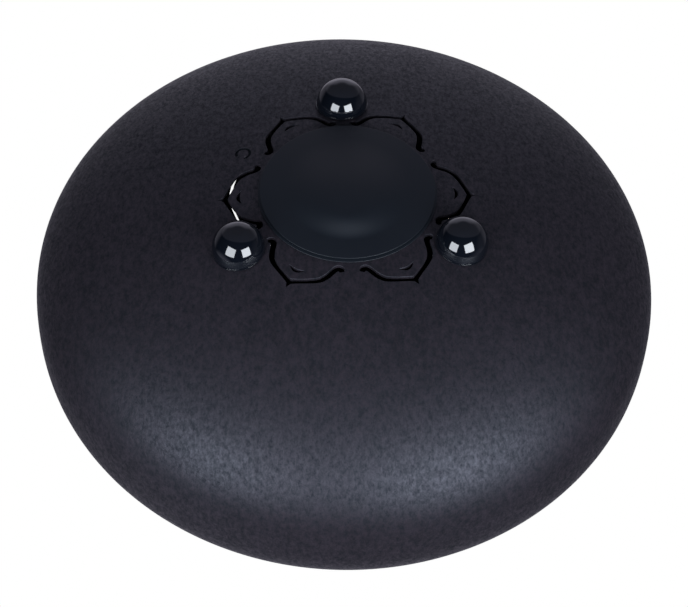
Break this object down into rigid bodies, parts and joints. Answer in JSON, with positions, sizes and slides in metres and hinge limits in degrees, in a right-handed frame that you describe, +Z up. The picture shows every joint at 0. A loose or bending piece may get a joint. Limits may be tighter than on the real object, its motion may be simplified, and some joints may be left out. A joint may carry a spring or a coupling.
{
  "type": "tongue drum",
  "caption": "Hollow lens-shaped steel tongue drum: welded domed shells, round-ended tongues above, lotus of sound slots, rubber feet and centre pad below.",
  "frame": {"origin": "centre of the drum's footprint, on the plane that the three feet stand on", "axes": "+Z up along the drum's axis, tongues on top and feet below; -Y towards the player, where the lowest tongue lies"},
  "size_m": [0.3, 0.3, 0.1562],
  "materials": {
    "coated_steel": "satin fine-textured powder coat",
    "pad_rubber": "satin",
    "foot_rubber": "glossy",
    "adhesive": "matt foam tape"
  },
  "bodies": {
    "root": {"top_shell": "coated_steel", "bottom_shell": "coated_steel", "equator_weld": "coated_steel", "centre_pad": "pad_rubber", "pad_adhesive": "adhesive", "foot_1": "foot_rubber", "foot_2": "foot_rubber", "foot_3": "foot_rubber"}
  },
  "joints": []
}
